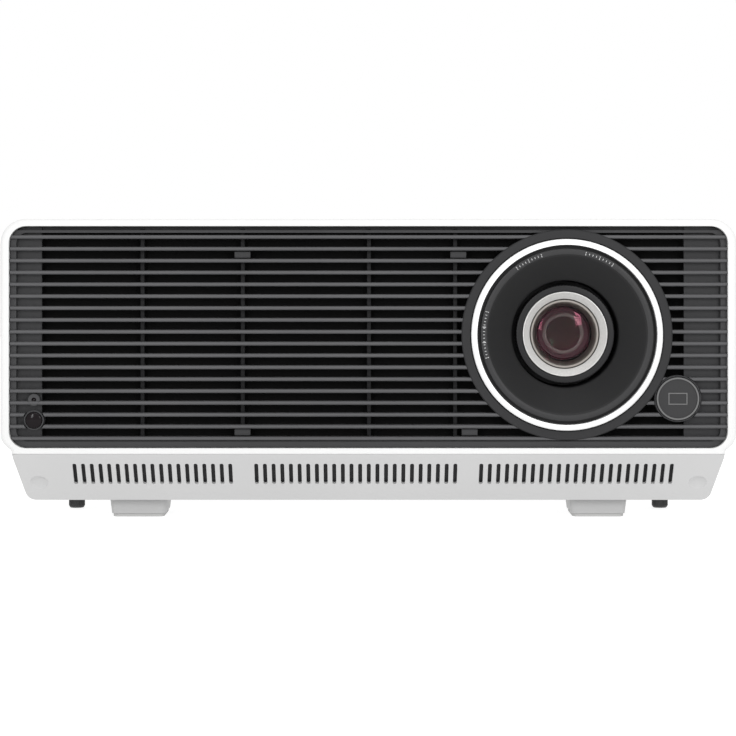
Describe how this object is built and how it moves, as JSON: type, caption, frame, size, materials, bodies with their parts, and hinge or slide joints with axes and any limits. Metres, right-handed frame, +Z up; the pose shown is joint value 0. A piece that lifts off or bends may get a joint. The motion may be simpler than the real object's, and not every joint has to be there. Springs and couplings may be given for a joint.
{
  "type": "home projector",
  "caption": "Boxy laser projector with a full-width slatted front, an offset lens with zoom and focus rings, a sloped vented skirt, a rear connector bay and screw feet.",
  "frame": {"origin": "middle of the footprint on the surface that the projector stands on", "axes": "+Z up; the lens looks along -Y; +X is to the right when seen from in front of the lens"},
  "size_m": [0.37, 0.2926, 0.1524],
  "materials": {
    "white_shell": "fine satin texture",
    "zoom_ring_white": "semi-gloss",
    "grille_plastic": "matte",
    "black_plastic": "matte",
    "focus_ring_black": "satin, ribbed",
    "bay_plastic": "fine texture",
    "key_black": "satin",
    "window_black": "gloss",
    "silver_trim": "satin anodised",
    "bronze_trim": "anodised",
    "lens_glass": "coated",
    "cast_metal": "as cast",
    "copper": "brushed",
    "circuit_board": "solder mask",
    "phosphor_coating": "powdery",
    "plated_steel": "nickel plated",
    "rubber": "matte"
  },
  "bodies": {
    "root": {"top_cover": "white_shell", "bottom_tub": "white_shell", "front_left_leg": "white_shell", "front_right_leg": "white_shell", "front_grille": "grille_plastic", "badge_disc": "grille_plastic", "lens_barrel": "black_plastic", "fan_shroud": "black_plastic", "left_fan_frame": "black_plastic", "right_fan_frame": "black_plastic", "left_speaker": "black_plastic", "right_speaker": "black_plastic", "audio_jack": "black_plastic", "power_inlet": "black_plastic", "rear_panel": "bay_plastic", "control_plate": "bay_plastic", "ir_window": "window_black", "status_led": "window_black", "rear_lens": "lens_glass", "lens_mount_plate": "cast_metal", "engine_housing": "cast_metal", "engine_lid": "cast_metal", "chip_heatsink": "cast_metal", "laser_heatsink": "cast_metal", "laser_bank": "copper", "chip_board": "circuit_board", "main_board": "circuit_board", "power_board": "circuit_board", "wheel_motor": "plated_steel", "hdmi_socket_1": "plated_steel", "hdmi_socket_2": "plated_steel", "usb_socket": "plated_steel", "network_socket": "plated_steel", "serial_socket": "plated_steel", "front_left_sole": "rubber", "front_right_sole": "rubber", "rear_left_leg": "rubber", "rear_right_leg": "rubber"},
    "zoom_ring": {"zoom_grip_ring": "zoom_ring_white", "lens_dish": "black_plastic"},
    "zoom_group": {"zoom_lens_cell": "black_plastic", "zoom_lens": "lens_glass"},
    "focus_ring": {"focus_ring": "focus_ring_black", "focus_trim_ring": "silver_trim"},
    "focus_group": {"front_retaining_ring": "bronze_trim", "front_lens_cell": "black_plastic", "front_lens": "lens_glass", "second_lens": "lens_glass"},
    "phosphor_wheel": {"phosphor_wheel": "phosphor_coating"},
    "left_fan_rotor": {"left_fan_rotor": "black_plastic"},
    "right_fan_rotor": {"right_fan_rotor": "black_plastic"},
    "power_key": {"power_key": "key_black"},
    "joystick_gimbal": {"joystick_gimbal": "black_plastic"},
    "joystick_rocker": {"joystick_rocker": "black_plastic"},
    "joystick_cap": {"joystick_cap": "key_black"},
    "left_foot": {"left_foot_stem": "plated_steel"},
    "left_foot_pad": {"left_foot_pad": "rubber"},
    "right_foot": {"right_foot_stem": "plated_steel"},
    "right_foot_pad": {"right_foot_pad": "rubber"}
  },
  "joints": [
    {"name": "zoom_ring_turn", "type": "hinge", "parent": "root", "child": "zoom_ring", "pos_m": [0.0998, -0.1437, 0.09425], "axis": [0, 1, 0], "range_deg": [-30, 30]},
    {"name": "zoom_group_slide", "type": "slide", "parent": "root", "child": "zoom_group", "axis": [0, 1, 0], "range_m": [-0.004, 0.004]},
    {"name": "focus_ring_turn", "type": "hinge", "parent": "root", "child": "focus_ring", "pos_m": [0.0998, -0.1437, 0.09425], "axis": [0, 1, 0], "range_deg": [-50, 50]},
    {"name": "focus_group_slide", "type": "slide", "parent": "root", "child": "focus_group", "axis": [0, 1, 0], "range_m": [-0.0012, 0.0012]},
    {"name": "phosphor_wheel_spin", "type": "hinge", "parent": "root", "child": "phosphor_wheel", "pos_m": [0.036, -0.0051, 0.09425], "axis": [1, 0, 0], "continuous": true},
    {"name": "left_fan_spin", "type": "hinge", "parent": "root", "child": "left_fan_rotor", "pos_m": [-0.112, -0.1227, 0.094], "axis": [0, 1, 0], "continuous": true},
    {"name": "right_fan_spin", "type": "hinge", "parent": "root", "child": "right_fan_rotor", "pos_m": [-0.01, -0.1227, 0.094], "axis": [0, 1, 0], "continuous": true},
    {"name": "power_key_press", "type": "slide", "parent": "root", "child": "power_key", "axis": [0, 0, -1], "range_m": [0, 0.0008], "stiffness_N_per_m": 400, "springref_m": -0.0005},
    {"name": "joystick_tilt_y", "type": "hinge", "parent": "root", "child": "joystick_gimbal", "pos_m": [-0.092, 0.1043, 0.1424], "axis": [1, 0, 0], "range_deg": [-8, 8], "stiffness_Nm_per_rad": 0.05},
    {"name": "joystick_tilt_x", "type": "hinge", "parent": "joystick_gimbal", "child": "joystick_rocker", "pos_m": [-0.092, 0.1043, 0.1424], "axis": [0, 1, 0], "range_deg": [-8, 8], "stiffness_Nm_per_rad": 0.05},
    {"name": "joystick_press", "type": "slide", "parent": "joystick_rocker", "child": "joystick_cap", "axis": [0, 0, -1], "range_m": [0, 0.0006], "stiffness_N_per_m": 500, "springref_m": -0.0005},
    {"name": "left_foot_slide", "type": "slide", "parent": "root", "child": "left_foot", "axis": [0, 0, -1], "range_m": [0, 0.009]},
    {"name": "left_foot_turn", "type": "hinge", "parent": "left_foot", "child": "left_foot_pad", "pos_m": [-0.155, -0.0657, 0.003], "axis": [0, 0, -1], "range_deg": [0, 1080.1]},
    {"name": "right_foot_slide", "type": "slide", "parent": "root", "child": "right_foot", "axis": [0, 0, -1], "range_m": [0, 0.009]},
    {"name": "right_foot_turn", "type": "hinge", "parent": "right_foot", "child": "right_foot_pad", "pos_m": [0.155, -0.0657, 0.003], "axis": [0, 0, -1], "range_deg": [0, 1080.1]}
  ],
  "couplings": [
    {"joint": "zoom_group_slide", "follows": "zoom_ring_turn", "m_per_rad": 0.0076},
    {"joint": "focus_group_slide", "follows": "focus_ring_turn", "m_per_rad": 0.0013},
    {"joint": "left_foot_turn", "follows": "left_foot_slide", "rad_per_m": 2094.4},
    {"joint": "right_foot_turn", "follows": "right_foot_slide", "rad_per_m": 2094.4}
  ]
}
